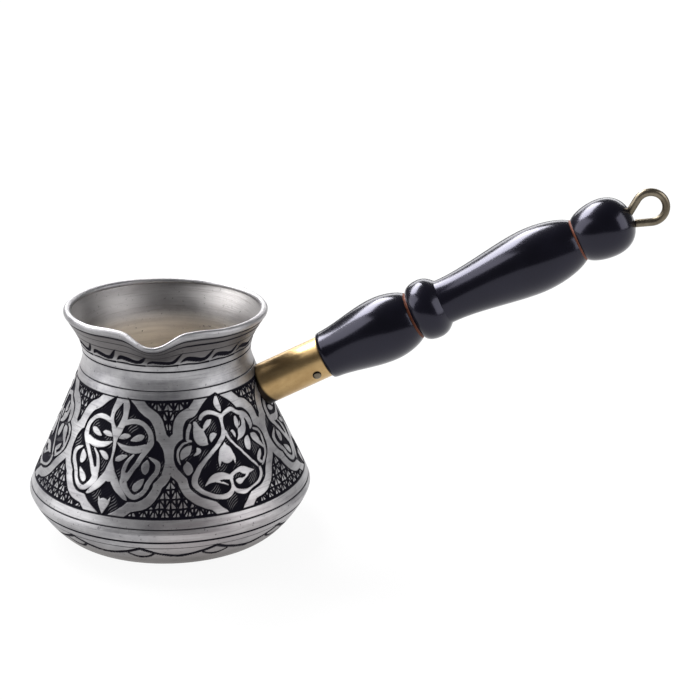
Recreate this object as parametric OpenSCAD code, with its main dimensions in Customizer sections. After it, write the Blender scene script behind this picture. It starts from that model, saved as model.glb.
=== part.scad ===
// Turkish coffee pot (cezve): a spun copper pot, a brass ferrule riveted to its wall, and a turned
// wooden handle that is nailed into the ferrule and ends in a wire hanging eye.
// Origin: centre of the base, on the table. +Z up. The handle rises along +X, the spout pours to -Y.

/* [Pot] */
// Diameter of the belly at its widest
belly_d = 95; // [88:1:104]
// Height of the belly's widest circle above the table
belly_z = 15.5; // [13:0.5:18]
// Diameter of the flat base
base_d = 68; // [60:1:74]
// Diameter of the neck at its narrowest
neck_d = 56; // [52:1:60]
// Height of the neck's narrowest circle
neck_z = 62; // [60:0.5:64]
// Diameter over the rolled rim
mouth_d = 67.6; // [66:0.2:70]
// Height to the top of the rim
pot_h = 77.4; // [76:0.2:80]
// Thickness of the copper
wall = 1.6; // [1.2:0.1:2]
// Diameter of the rolled bead at the rim
rim_bead_d = 2.4; // [2.2:0.1:3]

/* [Spout] */
// Width of the pouring channel at its lip
spout_w = 18; // [14:0.5:22]
// How far the channel's lip reaches past the rim
spout_reach = 4; // [2:0.5:5]
// How far the channel's lip lies below the rim
spout_dip = 1.7; // [1.2:0.1:3]
// Angle of the channel's floor from the vertical
spout_slope = 41; // [38:1:48]

/* [Ferrule] */
// Angle of the handle above the horizontal
handle_rise = 26.8; // [22:0.2:30]
// Height at which the handle's axis crosses the pot's axis
handle_root_z = 34.5; // [32:0.5:37]
// Outer diameter of the brass tube
ferrule_d = 14; // [12:0.5:15]
// Wall of the brass tube
ferrule_wall = 1; // [0.8:0.1:1.5]
// Distance from the pot's axis to the tube's outer end, along the handle's axis
ferrule_end = 59.3; // [57:0.1:63]
// Diameter of the rivet's shank
rivet_d = 4; // [3:0.5:5]
// Diameter of the rivet's head inside the pot
rivet_head_d = 9; // [8:0.5:10]
// Diameter of the nail's head on the ferrule
nail_head_d = 2.9; // [2:0.1:3.5]
// Angle of the nail below the horizontal, round the handle's axis
nail_turn = 26; // [0:1:90]

/* [Wooden handle] */
// Visible length of the turned wood
wood_l = 111.5; // [105:0.5:118]
// Largest radius of the front bulb
bulb_r = 10.95; // [10:0.05:12]
// Largest radius of the collar bead
collar_r = 10.2; // [9:0.1:11]
// Largest radius of the grip
grip_r = 10.8; // [10:0.1:12]
// Largest radius of the end ball
ball_r = 9.7; // [9:0.1:11]
// Length of the tenon inside the ferrule
tenon_l = 16; // [12:0.5:17]

/* [Hanging eye] */
// Diameter of the wire
wire_d = 2.6; // [2:0.1:3]
// Radius of the eye at the middle of its wire
eye_r = 5; // [4.5:0.1:6]
// Depth of the shank in the wood
shank_l = 24; // [15:1:30]

/* [Hidden] */

belly_r = belly_d / 2;
base_r = base_d / 2;
neck_r = neck_d / 2;
mouth_r = mouth_d / 2;
bead_r = rim_bead_d / 2;
ferrule_r = ferrule_d / 2;
wire_r = wire_d / 2;
tenon_r = ferrule_r - ferrule_wall;
curve_steps = 9;   // straight facets along each curve of an outline
round_fn = 96;     // sides that stand for a true circle
past = 30;         // length by which a cutting solid runs past what it cuts

// ---- outlines ----------------------------------------------------------------------------------

// Points along a cubic curve with the control points p, its first point left out.
function curve(p, n = curve_steps) = [
    for (i = [1:n]) let (t = i / n, s = 1 - t)
        s * s * s * p[0] + 3 * s * s * t * p[1] + 3 * s * t * t * p[2] + t * t * t * p[3]
];

// Points on a circle of radius r round c, from angle a to angle b.
function arc(c, r, a, b, n = 12) = [for (i = [0:n]) c + r * [cos(a + (b - a) * i / n), sin(a + (b - a) * i / n)]];

// The points moved d to the left of the way they run.
function inset(pts, d) = [
    for (i = [0:len(pts) - 1])
        let (way = pts[min(i + 1, len(pts) - 1)] - pts[max(i - 1, 0)])
            pts[i] + d * [-way[1], way[0]] / norm(way)
];

function reversed(pts) = [for (i = [len(pts) - 1:-1:0]) pts[i]];

bead_c = [mouth_r - bead_r, pot_h - bead_r];
bead_start = -60;   // where the flared wall meets the bead, on the outside
bead_stop = 205;    // and on the inside
flare_end = bead_c + bead_r * [cos(bead_start), sin(bead_start)];

// Outside of the pot from the edge of the base to the bead, as [radius, height].
pot_outside = concat(
    [[base_r, 0]],
    curve([[base_r, 0], [base_r + 5, 0], [belly_r, belly_z - 2.5], [belly_r, belly_z]]),
    curve([[belly_r, belly_z], [belly_r, belly_z + 2], [neck_r, neck_z - 4.6], [neck_r, neck_z]], 18),
    curve([[neck_r, neck_z], [neck_r, neck_z + 6.5], [mouth_r - 2.5, pot_h - 5.5], flare_end])
);
pot_inside = inset(pot_outside, wall);

// Outside of the wooden handle from its shoulder to its far end, as [radius, distance].
shoulder_r = 8.1;
front_groove = 33.2;                 // the groove between the bulb and the collar
front_groove_r = 7.7;
back_groove = front_groove + 10.6;   // between the collar and the grip
grip_start_r = 7.5;
ball_groove = wood_l - 19;           // between the grip and the ball
ball_groove_r = 7;
bulb_z = 22;                         // where each form is at its widest
collar_z = front_groove + 5.1;
grip_z = ball_groove - 16;
ball_z = wood_l - 9.7;
groove_w = 0.2;                      // flat floor of each groove

wood_outside = concat(
    [[tenon_r, 0], [shoulder_r - 0.7, 0], [shoulder_r - 0.2, 0.35], [shoulder_r, 1.4]],
    curve([[shoulder_r, 1.4], [shoulder_r + 0.35, 8], [bulb_r, bulb_z - 7], [bulb_r, bulb_z]]),
    curve([[bulb_r, bulb_z], [bulb_r, bulb_z + 5], [front_groove_r + 1.6, front_groove - 1.7],
           [front_groove_r, front_groove - groove_w / 2]]),
    curve([[front_groove_r, front_groove + groove_w / 2], [front_groove_r + 1.5, front_groove + 0.4],
           [collar_r, collar_z - 2.9], [collar_r, collar_z]]),
    curve([[collar_r, collar_z], [collar_r, collar_z + 3], [grip_start_r + 1, back_groove - 1.2],
           [grip_start_r, back_groove - groove_w / 2]]),
    curve([[grip_start_r, back_groove + groove_w / 2], [grip_start_r - 0.3, back_groove + 10],
           [grip_r, grip_z - 9], [grip_r, grip_z]], 12),
    curve([[grip_r, grip_z], [grip_r, grip_z + 6.5], [ball_groove_r + 2.2, ball_groove - 3],
           [ball_groove_r, ball_groove - groove_w / 2]]),
    curve([[ball_groove_r, ball_groove + groove_w / 2], [ball_groove_r + 1.3, ball_groove + 1.3],
           [ball_r, ball_z - 4.3], [ball_r, ball_z]]),
    curve([[ball_r, ball_z], [ball_r, ball_z + 5.5], [ball_r * 0.67, wood_l], [0, wood_l]])
);

// ---- helpers -----------------------------------------------------------------------------------

// Puts its children on the handle's axis, t from the pot's axis; their +Z points out along the handle
// and their +X points down.
module on_handle(t = 0) {
    translate([0, 0, handle_root_z]) rotate([0, 90 - handle_rise, 0]) translate([0, 0, t]) children();
}

// The pot as if it were solid.
module pot_solid() {
    rotate_extrude($fn = round_fn) polygon(concat([[0, 0]], pot_outside, [[0, flare_end[1]]]));
}

// The space inside the pot, up past the rim.
module pot_cavity() {
    top = pot_inside[len(pot_inside) - 1];
    rotate_extrude($fn = round_fn)
        polygon(concat([[0, wall]], pot_inside, [[top[0], pot_h + past], [0, pot_h + past]]));
}

// The lip is an arc in a tilted plane: it leaves the rim at spout_w / 2 on each side and dips at its tip.
rim_r = bead_c[0];
chord_y = sqrt(rim_r * rim_r - spout_w * spout_w / 4);   // distance of the arc's ends in front of the axis
lip_out = rim_r + spout_reach - chord_y;
lip_rise = norm([lip_out, spout_dip]);
lip_r = (spout_w * spout_w / 4 + lip_rise * lip_rise) / (2 * lip_rise);
lip_tilt = atan(spout_dip / lip_out);
lip_span = 2 * asin(spout_w / 2 / lip_r);

// Puts its children at the centre of the lip's arc, with the arc in their XY plane.
module on_lip() {
    translate([0, -rim_r - spout_reach, bead_c[1] - spout_dip]) rotate([lip_tilt, 0, 0])
        translate([0, lip_r, 0]) children();
}

// A cone that runs down from the lip into the neck. The lip cuts it at radius r; it reaches up past that.
spout_depth = 18;
module spout_cone(r, up) {
    widening = tan(spout_slope - lip_tilt);
    on_lip() translate([0, 0, -spout_depth])
        cylinder(r1 = r - spout_depth * widening, r2 = r + up * widening, h = spout_depth + up, $fn = round_fn);
}

// The rounded edge of the lip, slimmer than the rim's bead, in which its ends are buried.
module lip_bead() {
    on_lip() rotate([0, 0, -90 - lip_span / 2]) rotate_extrude(angle = lip_span, $fn = round_fn)
        translate([lip_r, 0]) circle(r = bead_r * 0.9, $fn = 48);
}

// ---- sub-parts ---------------------------------------------------------------------------------

// The spun copper vessel: flat base, belly, neck, flared mouth with a rolled rim and a pouring channel.
module pot_body() {
    color("silver") {
        difference() {
            union() {
                rotate_extrude($fn = round_fn) polygon(concat(
                    [[0, 0]], pot_outside, arc(bead_c, bead_r, bead_start, bead_stop),
                    reversed(pot_inside), [[0, wall]]
                ));
                difference() {
                    spout_cone(lip_r + wall / 2, 0);
                    pot_cavity();
                }
            }
            spout_cone(lip_r - wall / 2, past);
            on_handle() cylinder(d = rivet_d, h = 60, $fn = round_fn);
        }
        lip_bead();
    }
}

// The brass tube, its pot end cut to the curve of the wall.
module ferrule() {
    color("goldenrod") difference() {
        on_handle(29) difference() {
            cylinder(r = ferrule_r, h = ferrule_end - 29, $fn = round_fn);
            translate([0, 0, -1]) cylinder(r = tenon_r, h = ferrule_end, $fn = round_fn);
        }
        pot_solid();
        nail_hole();
    }
}

// The brass disc brazed into the tube's pot end, which takes the rivet.
saddle_end = 39;
module ferrule_saddle() {
    color("darkgoldenrod") difference() {
        on_handle(29) cylinder(r = tenon_r, h = saddle_end - 29, $fn = round_fn);
        pot_solid();
        on_handle() cylinder(d = rivet_d, h = 60, $fn = round_fn);
    }
}

// The tinned copper rivet: a domed head inside the pot, and the end hammered over inside the ferrule.
washer_t = 0.8;
rivet_tail = saddle_end + washer_t;
module mounting_rivet() {
    head_r = rivet_head_d / 2;
    dome_h = 2.2;
    dome_r = (head_r * head_r + dome_h * dome_h) / (2 * dome_h);
    wall_t = 34;   // where the axis meets the inside of the wall
    tail_r = 3.4;
    color("lightgray") {
        on_handle(wall_t - dome_h) cylinder(d = rivet_d, h = rivet_tail - wall_t + dome_h, $fn = round_fn);
        intersection() {
            on_handle(wall_t - dome_h + dome_r) sphere(r = dome_r, $fn = round_fn);
            pot_cavity();
        }
        on_handle(rivet_tail) rotate_extrude($fn = round_fn)
            polygon([[0, 0], [tail_r, 0], [tail_r, 0.5], [tail_r * 0.8, 1.2], [tail_r * 0.45, 1.6], [0, 1.7]]);
    }
}

// The washer under the rivet's hammered end.
module rivet_washer() {
    color("tan") on_handle(saddle_end) difference() {
        cylinder(r = tenon_r - 1.2, h = washer_t, $fn = round_fn);
        translate([0, 0, -1]) cylinder(d = rivet_d, h = washer_t + 2, $fn = round_fn);
    }
}

// The turned wood as it leaves the lathe, with its tenon.
module turned_wood() {
    on_handle(ferrule_end) rotate_extrude($fn = round_fn)
        polygon(concat([[0, -tenon_l], [tenon_r - 0.6, -tenon_l], [tenon_r, -tenon_l + 0.6]], wood_outside));
}

// The lacquered handle, bored for the nail and for the eye's shank, whose hole widens for the bend.
eye_mouth = 2.6;
module wooden_handle() {
    color([0.03, 0.03, 0.05]) difference() {
        turned_wood();
        nail_hole();
        on_handle(wood_end + root - shank_l) cylinder(r = wire_r, h = shank_l, $fn = 48);
        on_handle(wood_end + root) cylinder(r1 = wire_r, r2 = wire_r + eye_mouth, h = eye_mouth, $fn = 48);
    }
}

// Puts its children on the nail's axis: their +Z points out of the wood, their origin is on the
// handle's axis.
nail_t = ferrule_end - 4.1;
nail_shank_r = 0.8;
module on_nail() {
    on_handle(nail_t) rotate([0, 0, nail_turn - 90]) rotate([0, 90, 0]) children();
}

// The hole for the nail through the tube and into the tenon.
module nail_hole() {
    on_nail() cylinder(r = nail_shank_r, h = ferrule_r + 2, $fn = 24);
}

// The round-headed steel nail that holds the tenon in the ferrule.
module ferrule_nail() {
    head_r = nail_head_d / 2;
    seat = ferrule_r;
    color("gray") on_nail() rotate_extrude($fn = 48) polygon([
        [0, 0], [nail_shank_r, 0], [nail_shank_r, seat], [head_r, seat], [head_r, seat + 0.25],
        [head_r * 0.9, seat + 0.45], [head_r * 0.6, seat + 0.7], [0, seat + 0.85]
    ]);
}

// The eye lies in the handle's upright plane. Its wire is a list of [out, up, angle]: places past the
// wood's end and over the handle's axis, and the wire's direction there.
wood_end = ferrule_end + wood_l;
eye_c = eye_r + 1.4;                            // the eye's centre, on the handle's axis
root = -2.4;                                    // where the shank would meet the upper leg with no bend
bend_r = 3;
upper_turn = asin(eye_r / (eye_c - root));      // angle of the upper leg to the axis
lower_turn = 20.6;                              // angle of the lower leg to the axis
bend_start = root - bend_r * tan(upper_turn / 2);
lower_end = 0.25;                               // where the lower leg stops, against the wood
loop_turn = 180 + upper_turn + lower_turn;
wire_sides = 16;

// Stations round [out, up] at radius r, as the wire's direction goes from a to b.
// side is 1 where it bends up and -1 where it bends down.
function bend(c, r, a, b, side, n) = [
    for (i = [0:n]) let (d = a + (b - a) * i / n) [c[0] + side * r * sin(d), c[1] - side * r * cos(d), d]
];

eye_wire = concat(
    [[root - shank_l + 4, 0, 0]],
    bend([bend_start, bend_r], bend_r, 0, upper_turn, 1, 4),
    bend([eye_c, 0], eye_r, upper_turn, upper_turn - loop_turn, -1, 30),
    [[lower_end, -eye_r * cos(lower_turn) + (eye_c - eye_r * sin(lower_turn) - lower_end) * tan(lower_turn),
      upper_turn - loop_turn]]
);

// One ring of the wire's skin, of radius r, square to the wire at a station.
function wire_ring(at, r) = [
    for (k = [0:wire_sides - 1]) let (turn = 360 * k / wire_sides, rise = r * cos(turn))
        [-(at[1] + rise * cos(at[2])), r * sin(turn), at[0] - rise * sin(at[2])]
];

// The steel wire eye that the pot hangs by: a pointed shank, a bend at the mouth of its hole, and the
// loop, whose free end rests on the wood.
module hanging_eye() {
    rings = concat(
        [wire_ring([root - shank_l, 0, 0], 0.3)], [for (at = eye_wire) wire_ring(at, wire_r)]
    );
    last = len(rings) - 1;
    function id(ring, side) = ring * wire_sides + side % wire_sides;
    color("slategray") on_handle(wood_end) polyhedron(
        points = [for (ring = rings) each ring],
        faces = concat(
            [[for (k = [0:wire_sides - 1]) id(0, wire_sides - 1 - k)], [for (k = [0:wire_sides - 1]) id(last, k)]],
            [for (i = [0:last - 1], k = [0:wire_sides - 1]) [id(i, k), id(i, k + 1), id(i + 1, k + 1), id(i + 1, k)]]
        )
    );
}

pot_body();
ferrule();
ferrule_saddle();
mounting_rivet();
rivet_washer();
wooden_handle();
ferrule_nail();
hanging_eye();
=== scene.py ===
import math

import bpy
import numpy as np
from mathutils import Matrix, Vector


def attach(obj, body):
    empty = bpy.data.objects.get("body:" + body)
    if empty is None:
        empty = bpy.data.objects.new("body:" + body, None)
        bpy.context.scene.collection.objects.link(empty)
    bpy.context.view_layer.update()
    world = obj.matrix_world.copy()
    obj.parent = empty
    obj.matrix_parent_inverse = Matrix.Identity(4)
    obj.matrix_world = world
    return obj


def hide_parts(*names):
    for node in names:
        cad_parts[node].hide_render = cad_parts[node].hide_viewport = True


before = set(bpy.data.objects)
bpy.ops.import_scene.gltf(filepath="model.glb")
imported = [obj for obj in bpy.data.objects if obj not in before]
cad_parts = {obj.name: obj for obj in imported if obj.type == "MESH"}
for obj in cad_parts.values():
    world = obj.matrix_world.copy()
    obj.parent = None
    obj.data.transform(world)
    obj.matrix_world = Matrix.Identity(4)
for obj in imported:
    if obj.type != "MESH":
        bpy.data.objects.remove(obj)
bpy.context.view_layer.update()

# ---- Camera ------------------------------------------------------------------------------------
# A long lens on a tripod looks down on the pot from in front, a little to the right of the spout.
# It is set by its distance, azimuth and elevation from a point by the near end of the handle.

view_point = Vector((0.0612, -0.0002, 0.0635))
view_distance = 0.7632
view_azimuth = math.radians(3.5)
view_elevation = math.radians(19.66)

camera = bpy.data.objects.new("camera", bpy.data.cameras.new("camera"))
bpy.context.scene.collection.objects.link(camera)
camera.data.sensor_width = 36
camera.data.lens = 118.3
camera.data.clip_start = 0.05
towards_camera = Vector((
    math.sin(view_azimuth) * math.cos(view_elevation),
    -math.cos(view_azimuth) * math.cos(view_elevation),
    math.sin(view_elevation),
))
camera.location = view_point + view_distance * towards_camera
camera.rotation_mode = "QUATERNION"
camera.rotation_quaternion = (-towards_camera).to_track_quat("-Z", "Y")
bpy.context.scene.camera = camera
bpy.context.scene.view_settings.view_transform = "Standard"

# ---- Pot ---------------------------------------------------------------------------------------
# One sheet of copper, spun over a former into base, belly, neck and flared mouth, rolled at the rim,
# pressed out into a pouring lip and tinned. Everything on it is worked in millimetres over the sheet:
# an angle round the pot and a length up the outside, so the ornament bends with the lip.

mm = 0.001
belly_r, belly_z = 47.5, 15.5
base_r = 34.0
neck_r, neck_z = 28.0, 62.0
mouth_r, pot_h = 33.8, 77.4
wall = 1.6
bead_r = 1.2
full_turn = 2 * math.pi


def bezier(controls, n):
    """n + 1 points of the cubic curve through its first and last control point."""
    t = np.linspace(0, 1, n + 1)[:, None]
    a, b, c, d = np.array(controls, float)
    return (1 - t) ** 3 * a + 3 * (1 - t) ** 2 * t * b + 3 * (1 - t) * t ** 2 * c + t ** 3 * d


bead_centre = np.array([mouth_r - bead_r, pot_h - bead_r])
bead_start, bead_stop = math.radians(-60), math.radians(205)
flare_end = bead_centre + bead_r * np.array([math.cos(bead_start), math.sin(bead_start)])
outside = np.vstack([
    bezier([(base_r, 0), (base_r + 5, 0), (belly_r, belly_z - 2.5), (belly_r, belly_z)], 300),
    bezier([(belly_r, belly_z), (belly_r, belly_z + 2), (neck_r, neck_z - 4.6), (neck_r, neck_z)], 600)[1:],
    bezier([(neck_r, neck_z), (neck_r, neck_z + 6.5), (mouth_r - 2.5, pot_h - 5.5), flare_end], 300)[1:],
])
outside_way = np.gradient(outside, axis=0)
outside_way /= np.linalg.norm(outside_way, axis=1)[:, None]
length_up = np.concatenate([[0], np.cumsum(np.linalg.norm(np.diff(outside, axis=0), axis=1))])


def up_at(height):
    """Length up the outside at a height above the table."""
    return float(np.interp(height, outside[:, 1], length_up))


def sheet_point(up, depth):
    """(radius, height) at a length up the outside and a depth below it, square to the surface."""
    r, z = (np.interp(up, length_up, outside[:, k]) for k in (0, 1))
    a, b = (np.interp(up, length_up, outside_way[:, k]) for k in (0, 1))
    return r - depth * b, z + depth * a


def radius_at(up):
    """Radius of the outside at a length up it."""
    return np.interp(up, length_up, outside[:, 0])


# The pouring lip: the sheet is pushed out and down in front, most at the rim and not at all in the neck.
# The mouth is a little out of level, as the hand that pressed the lip left it.
lip_turn = math.radians(0.8)
lip_half_width = 11.5
lip_reach, lip_dip = 4.0, 2.5
lip_r = 33.0                            # the radius at which distances across the lip are taken
lip_root_z, lip_full_z = 64.5, 76.0     # where the lip starts to grow, and where it is fully grown
shoulder_at, shoulder_width = 15.0, 5.0
shoulder_in, shoulder_lift = 0.4, 0.3   # the sheet beside the lip is drawn in and up a little
mouth_lift, mouth_tilt_front, mouth_tilt_side = 0.45, 0.027, -0.008


def press_lip(angle, r, z):
    """Radius and height after the lip is pressed: a rounded V across, growing from the neck to the rim."""
    side = np.abs(np.sin(angle - lip_turn)) * lip_r
    across = np.clip(side / lip_half_width, 0, 1)
    front = np.cos(angle) > 0
    v = front * (0.5 + 0.5 * np.cos(math.pi * across)) ** 1.15
    shoulder = front * np.exp(-((side - shoulder_at) / shoulder_width) ** 2)
    grow = np.clip((z - lip_root_z) / (lip_full_z - lip_root_z), 0, 1.12)
    grow = grow * grow * (1.6 - 0.6 * grow)
    tilt = mouth_lift + mouth_tilt_front * r * np.cos(angle) + mouth_tilt_side * r * np.sin(angle)
    push = lip_reach * v - shoulder_in * shoulder
    rise = tilt - lip_dip * v + shoulder_lift * shoulder
    return r + push * grow, z + rise * grow


def around(angle, r, z):
    """Points of the pot in metres; angle 0 is the spout's side and a quarter turn is the handle's."""
    r, z = press_lip(angle, r, z)
    return np.stack([r * np.sin(angle), -r * np.cos(angle), z + 0 * r], -1) * mm


# -- the burin's strokes

stroke_step, outline_step = 0.16, 0.4


def smooth_piece(a, b, c, d, step):
    """Points from b almost to c, about a step apart, on the smooth curve through a, b, c and d."""
    t = np.linspace(0, 1, max(2, int(math.dist(b[:2], c[:2]) / step)), endpoint=False)[:, None]
    return b + 0.5 * t * (c - a + t * (2 * a - 5 * b + 4 * c - d + t * (3 * b - a - 3 * c + d)))


def stroke_distance(x, y, points, reach=1.2):
    """Distance outside a tool stroke, negative inside it. points are (x, y, half width) along its spine,
    joined by a smooth curve. Beyond reach the distance is left at reach."""
    p = np.array(points, float)
    ends = np.vstack([2 * p[0] - p[1], p, 2 * p[-1] - p[-2]])
    fours = zip(ends, ends[1:], ends[2:], ends[3:])
    p = np.vstack([smooth_piece(*four, stroke_step) for four in fours] + [ends[-2:-1]])
    p[:, 2] = np.maximum(p[:, 2], 0.02)
    low = (p[:, :2] - p[:, 2:]).min(0) - reach
    high = (p[:, :2] + p[:, 2:]).max(0) + reach
    out = np.full(x.shape, reach)
    near = (x > low[0]) & (x < high[0]) & (y > low[1]) & (y < high[1])
    if near.any():
        far = np.hypot(x[near][:, None] - p[:, 0], y[near][:, None] - p[:, 1]) - p[:, 2]
        out[near] = np.minimum(far.min(1), reach)
    return out


def outline_distance(x, y, corners, reach=9.0):
    """Distance outside a closed outline, negative inside. It runs smoothly through its points, with a
    corner wherever a point is given twice."""
    p = np.array(corners, float)
    n = len(p)
    parts = []
    for i in range(n):
        a, b, c, d = p[i - 1], p[i], p[(i + 1) % n], p[(i + 2) % n]
        if not np.allclose(b, c):
            parts.append(smooth_piece(a, b, c, d, outline_step))
    p = np.vstack(parts)
    q = np.roll(p, -1, 0)
    out = np.full(x.shape, reach)
    near = (x > p[:, 0].min() - reach) & (x < p[:, 0].max() + reach)
    px, py = x[near], y[near]
    best = np.full(px.shape, reach)
    inside = np.zeros(px.shape, bool)
    for (ax, ay), (bx, by) in zip(p, q):
        dx, dy = bx - ax, by - ay
        t = np.clip(((px - ax) * dx + (py - ay) * dy) / (dx * dx + dy * dy), 0, 1)
        best = np.minimum(best, np.hypot(px - ax - t * dx, py - ay - t * dy))
        if ay != by:
            inside ^= ((ay > py) != (by > py)) & (px < ax + (py - ay) * dx / dy)
    out[near] = np.where(inside, -best, best)
    return out


def mirrored(strokes):
    """The strokes and their mirror images."""
    return strokes + [[(-x, y, w) for x, y, w in s] for s in strokes]


# -- the first medallion: a leaf over two looped ribbons, with buds in the loops and a tulip below

half_outline_a = [
    (1.6, 38.6), (3.3, 37.6), (5.4, 35.9), (7.2, 34.1), (8.6, 33.1), (8.6, 33.1), (10.2, 32.2), (11.8, 30.5),
    (12.9, 28.4), (13.5, 26.6), (13.7, 25.5), (13.7, 25.5), (15.2, 24.4), (16.6, 22.4), (17.5, 19.8),
    (17.9, 17.2), (17.6, 14.8), (16.6, 12.8), (15.3, 11.4), (15.3, 11.4), (15.2, 9.8), (14.3, 7.8),
    (12.9, 6.3), (10.9, 5.4), (8.0, 5.0), (8.0, 5.0), (6.2, 3.2), (3.9, 1.6), (1.2, 0.0),
]
outline_a = half_outline_a + [(-x, y) for x, y in reversed(half_outline_a)]
land_a = mirrored([
    # the looped ribbon, from the leaf round the upper loop and down round the lower one
    [(0.6, 28.6, .9), (2.3, 30.2, .85), (4.6, 31.0, .8), (7, 31.0, .75), (9, 30.2, .7), (10.6, 28.9, .75),
     (11.6, 27.2, .75), (12.0, 25.4, .85), (12.0, 23.8, 1.0), (11.2, 22.0, .95), (10.2, 20.2, .8),
     (9.1, 18.2, .8), (8, 16.3, .75), (7, 14.3, .8), (6.3, 12.4, .75)],
    [(5.6, 13.4, 1.2), (5.4, 11.5, 1.2), (6.1, 9.7, 1.0), (7.3, 8.2, .9), (8.8, 7.1, .8), (10.4, 7.0, .75),
     (12, 8.0, .75), (13.2, 9.7, .75), (13.5, 11.2, .8), (14.3, 12.8, .8), (15.4, 14.3, .8), (15.9, 16, .75),
     (15.7, 17.6, .75), (14.9, 18.5, .6), (13.4, 19.3, .35), (12.6, 19.8, .1)],
    [(7.2, 20.4, .3), (6.1, 19.0, .45), (5.2, 17.2, .6), (4.75, 15.2, .6), (4.8, 13.4, .7)],
    # the cup under the upper loop and the outer legs of the middle ribbon
    [(1.1, 23.7, .15), (2.4, 22.9, .55), (4.3, 22.2, .9), (6.5, 22.0, 1.1), (8.8, 22.3, 1.15),
     (10.6, 23.0, 1.0)],
    [(0.8, 13.4, 1.2), (2.1, 11.4, 1.35), (3.6, 9.4, 1.2), (5.1, 7.7, .9), (6.6, 6.3, .55), (7.5, 5.6, .12)],
    # buds
    [(1.6, 17.9, .2), (2.3, 18.5, .8), (3.4, 19.2, .8), (4.9, 19.9, .25)],
    [(12.0, 18.9, .1), (11.9, 17.8, .75), (11.7, 16.6, 1.3), (12.0, 15.6, 1.0), (12.2, 14.8, .3)],
    [(12.0, 12.9, .12), (11.3, 11.9, .7), (10.4, 10.8, 1.1), (9.8, 9.8, .95), (9.6, 9.2, .4)],
    [(1.6, 25.5, .3), (2.8, 26.0, .9), (4.0, 26.2, .75), (5.1, 26.2, .15)],
    [(5.7, 25.0, .2), (7.1, 25.5, .8), (8.4, 26.1, 1.0), (9.2, 26.5, .5)],
]) + [
    # the leaf, the pinched middle ribbon and the tulip
    [(0, 37.9, 1.7), (.3, 36.0, 2.6), (.1, 34.0, 3.0), (0, 32.0, 3.1), (0, 30.0, 2.6), (0, 28.4, 1.9)],
    [(0, 28.4, 2.1), (0, 27, 1.6), (0, 25.5, 1.0), (0, 24, .62), (0, 22, .45), (0, 20, .38), (0, 18, .45),
     (0, 16, .95), (0, 14, 1.7), (0, 12.8, 2.0)],
    [(-.2, 0.5, .1), (-.25, 2.0, 1.0), (-.3, 3.3, 1.65), (-.3, 3.6, 1.75)],
    [(-1.5, 3.5, .7), (-2.1, 4.7, .35), (-2.4, 5.5, .08)],
    [(.9, 3.7, .7), (1.5, 5.0, .35), (1.8, 5.9, .08)],
]
cuts_a = [[(-.3, 28.6, .1), (-.4, 30.5, 1.1), (-.2, 32.5, 1.4), (.1, 34.3, .95), (.6, 36.3, .1)]]

# -- the second medallion: a pointed arch of ribbon over a tulip and two leaves, with buds outside it

outline_b = [
    (0.9, 39.1), (0.9, 39.1), (2.2, 38.1), (3.6, 37.0), (5.0, 35.8), (6.4, 34.4), (8.0, 32.5), (8.0, 32.5),
    (9.6, 32.0), (11.2, 31.0), (12.7, 29.3), (13.5, 27.4), (13.7, 25.0), (13.7, 25.0), (15.2, 24.0),
    (16.6, 22.4), (17.6, 20.6), (18.0, 18.6), (18.0, 16.6), (17.2, 14.4), (15.6, 12.2), (14.5, 10.4),
    (13.6, 8.4), (12.2, 6.8), (10, 5.7), (7.8, 5.2), (5.9, 4.8), (5.9, 4.8), (4, 3), (2.4, 1.4), (0.9, -.1),
    (-3.2, -.1), (-4.3, 1), (-5.5, 2), (-7.3, 4.2), (-7.3, 4.2), (-8.6, 4.9), (-10.6, 5.7), (-12.4, 6.8),
    (-14, 8.5), (-15, 10.4), (-15.2, 12.8), (-15.2, 12.8), (-16.4, 14.5), (-17.5, 16.2), (-18, 18.2),
    (-17.7, 20.4), (-16.8, 22.6), (-15.4, 24.4), (-13.4, 25.6), (-13.4, 25.6), (-13.2, 27.2), (-12.5, 29.2),
    (-11.4, 30.9), (-10, 31.9), (-8, 32.6), (-8, 32.6), (-6.9, 33.5), (-5.6, 35.0), (-4, 36.5), (-2.2, 37.8),
]
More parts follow.
